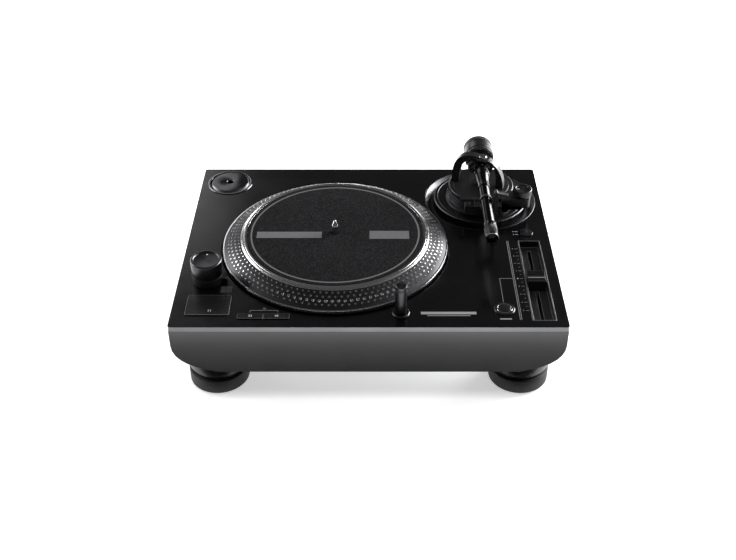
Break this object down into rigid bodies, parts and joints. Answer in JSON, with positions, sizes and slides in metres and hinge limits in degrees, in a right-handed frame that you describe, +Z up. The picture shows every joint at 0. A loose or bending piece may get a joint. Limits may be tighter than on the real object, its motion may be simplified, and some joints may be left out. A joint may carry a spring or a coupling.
{
  "type": "turntable record player",
  "caption": "Compact direct-drive turntable for seven-inch records, with strobe platter, slipmat, pitch fader, controls and a straight gimballed tonearm on a height ring.",
  "frame": {"origin": "on the floor under the middle of the top plate", "axes": "+X along the wide front towards the tonearm side, +Y from the front to the back, +Z up"},
  "size_m": [0.37, 0.2814, 0.1486],
  "materials": {
    "plate_black": "satin black powder coat on aluminium plate",
    "case_grey": "satin dark grey paint",
    "foot_rubber": "matte moulded rubber",
    "turned_aluminium": "turned and polished",
    "black_aluminium": "black anodised, satin",
    "chrome": "polished",
    "slipmat_felt": "pressed felt",
    "black_plastic": "satin moulded",
    "steel": "zinc plated sheet",
    "ferrite": "matte",
    "copper_winding": "enamelled wire",
    "circuit_board": "satin",
    "lamp_lens": "gloss"
  },
  "bodies": {
    "chassis": {"top_plate": "plate_black", "plinth": "case_grey", "bottom_cover": "steel", "back_panel": "black_plastic", "power_inlet": "black_plastic", "rca_jack_left": "chrome", "rca_jack_right": "chrome", "ground_post": "chrome", "platter_well": "steel", "motor_stator": "copper_winding", "motor_bearing": "steel", "main_board": "circuit_board", "power_supply": "steel", "strobe_tower": "black_plastic", "strobe_lens": "lamp_lens", "light_collar": "black_aluminium", "adapter_well": "chrome", "fader_tray": "black_plastic", "fader_track": "steel", "reset_ring": "chrome", "arm_well": "black_aluminium"},
    "foot_front_left": {"foot_front_left": "foot_rubber"},
    "foot_front_right": {"foot_front_right": "foot_rubber"},
    "foot_rear_left": {"foot_rear_left": "foot_rubber"},
    "foot_rear_right": {"foot_rear_right": "foot_rubber"},
    "platter": {"platter": "turned_aluminium", "spindle": "chrome", "rotor_magnet": "ferrite"},
    "slipmat": {"slipmat": "slipmat_felt"},
    "power_knob": {"power_knob": "black_aluminium"},
    "start_stop_button": {"start_stop_button": "black_plastic"},
    "speed_button_33": {"speed_button_33": "black_plastic"},
    "speed_button_45": {"speed_button_45": "black_plastic"},
    "target_light": {"target_light": "black_aluminium"},
    "adapter_45": {"adapter_45": "black_aluminium"},
    "fader_cap": {"fader_cap": "black_plastic"},
    "reset_button": {"reset_button": "black_plastic"},
    "range_button": {"range_button": "black_plastic"},
    "height_ring": {"height_ring": "black_aluminium"},
    "arm_base": {"arm_base": "black_plastic", "yoke": "black_aluminium", "pivot_cap": "chrome", "antiskate_housing": "black_plastic", "cue_bracket": "black_plastic", "arm_rest": "black_plastic"},
    "gimbal": {"gimbal": "black_aluminium", "pivot_screw_left": "chrome", "pivot_screw_right": "chrome"},
    "tonearm": {"arm_tube": "black_aluminium", "pivot_block": "black_aluminium", "rear_shaft": "black_aluminium", "head_socket": "black_plastic"},
    "force_dial": {"force_dial": "black_plastic"},
    "counterweight": {"counterweight": "black_aluminium"},
    "locking_collar": {"locking_collar": "black_aluminium"},
    "antiskate_knob": {"antiskate_knob": "black_aluminium"},
    "cue_lever": {"cue_lever": "chrome"},
    "cue_lift": {"cue_lift": "black_plastic"},
    "arm_clip": {"arm_clip": "black_plastic"}
  },
  "joints": [
    {"name": "platter_spin", "type": "hinge", "parent": "chassis", "child": "platter", "pos_m": [-0.034, -0.0093, 0.092], "axis": [0, 0, 1], "continuous": true},
    {"name": "slipmat_slip", "type": "hinge", "parent": "platter", "child": "slipmat", "pos_m": [-0.034, -0.0093, 0.092], "axis": [0, 0, 1], "continuous": true},
    {"name": "foot_front_left_screw", "type": "slide", "parent": "chassis", "child": "foot_front_left", "axis": [0, 0, -1], "range_m": [0, 0.005]},
    {"name": "foot_rear_left_screw", "type": "slide", "parent": "chassis", "child": "foot_rear_left", "axis": [0, 0, -1], "range_m": [0, 0.005]},
    {"name": "foot_front_right_screw", "type": "slide", "parent": "chassis", "child": "foot_front_right", "axis": [0, 0, -1], "range_m": [0, 0.005]},
    {"name": "foot_rear_right_screw", "type": "slide", "parent": "chassis", "child": "foot_rear_right", "axis": [0, 0, -1], "range_m": [0, 0.005]},
    {"name": "power_knob_turn", "type": "hinge", "parent": "chassis", "child": "power_knob", "pos_m": [-0.156, -0.068, 0.092], "axis": [0, 0, 1], "range_deg": [0, 60]},
    {"name": "start_stop_press", "type": "slide", "parent": "chassis", "child": "start_stop_button", "axis": [0, 0, -1], "range_m": [0, 0.0008], "stiffness_N_per_m": 400, "springref_m": -0.001},
    {"name": "speed_33_press", "type": "slide", "parent": "chassis", "child": "speed_button_33", "axis": [0, 0, -1], "range_m": [0, 0.0008], "stiffness_N_per_m": 400, "springref_m": -0.001},
    {"name": "speed_45_press", "type": "slide", "parent": "chassis", "child": "speed_button_45", "axis": [0, 0, -1], "range_m": [0, 0.0008], "stiffness_N_per_m": 400, "springref_m": -0.001},
    {"name": "reset_press", "type": "slide", "parent": "chassis", "child": "reset_button", "axis": [0, 0, -1], "range_m": [0, 0.0008], "stiffness_N_per_m": 400, "springref_m": -0.001},
    {"name": "range_press", "type": "slide", "parent": "chassis", "child": "range_button", "axis": [0, 0, -1], "range_m": [0, 0.0008], "stiffness_N_per_m": 400, "springref_m": -0.001},
    {"name": "target_light_pull", "type": "slide", "parent": "chassis", "child": "target_light", "axis": [0, 0, 1], "range_m": [0, 0.012]},
    {"name": "adapter_lift", "type": "slide", "parent": "chassis", "child": "adapter_45", "axis": [0, 0, 1], "range_m": [0, 0.012]},
    {"name": "pitch_slide", "type": "slide", "parent": "chassis", "child": "fader_cap", "axis": [0, 1, 0], "range_m": [-0.05, 0.05]},
    {"name": "arm_height_turn", "type": "hinge", "parent": "chassis", "child": "height_ring", "pos_m": [0.1198, 0.0779, 0.092], "axis": [0, 0, 1], "range_deg": [0, 300]},
    {"name": "arm_height_lift", "type": "slide", "parent": "chassis", "child": "arm_base", "axis": [0, 0, 1], "range_m": [0, 0.006]},
    {"name": "arm_swing", "type": "hinge", "parent": "arm_base", "child": "gimbal", "pos_m": [0.1198, 0.0779, 0.133], "axis": [0, 0, -1], "range_deg": [0, 45]},
    {"name": "arm_tilt", "type": "hinge", "parent": "gimbal", "child": "tonearm", "pos_m": [0.118, 0.0779, 0.133], "axis": [-1, 0, 0], "range_deg": [0, 8]},
    {"name": "weight_travel", "type": "slide", "parent": "tonearm", "child": "force_dial", "axis": [0, 1, 0], "range_m": [0, 0.006]},
    {"name": "weight_turn", "type": "hinge", "parent": "force_dial", "child": "counterweight", "pos_m": [0.118, 0.1065, 0.133], "axis": [0, 1, 0], "range_deg": [0, 1080]},
    {"name": "collar_turn", "type": "hinge", "parent": "tonearm", "child": "locking_collar", "pos_m": [0.118, -0.045, 0.133], "axis": [0, 1, 0], "range_deg": [0, 90]},
    {"name": "antiskate_turn", "type": "hinge", "parent": "arm_base", "child": "antiskate_knob", "pos_m": [0.1605, 0.051, 0.112], "axis": [0, 0, 1], "range_deg": [0, 270]},
    {"name": "cue_lever_turn", "type": "hinge", "parent": "arm_base", "child": "cue_lever", "pos_m": [0.1416, 0.0371, 0.10675], "axis": [0, -1, 0], "range_deg": [0, 50]},
    {"name": "cue_lift_raise", "type": "slide", "parent": "arm_base", "child": "cue_lift", "axis": [0, 0, 1], "range_m": [0, 0.006]},
    {"name": "clip_turn", "type": "hinge", "parent": "arm_base", "child": "arm_clip", "pos_m": [0.1279, 0.0119, 0.1418], "axis": [0, -1, 0], "range_deg": [0, 195]}
  ],
  "couplings": [
    {"joint": "arm_height_turn", "follows": "arm_height_lift", "rad_per_m": 872.66},
    {"joint": "weight_turn", "follows": "weight_travel", "rad_per_m": 3141.5},
    {"joint": "cue_lever_turn", "follows": "cue_lift_raise", "rad_per_m": 145.44}
  ]
}
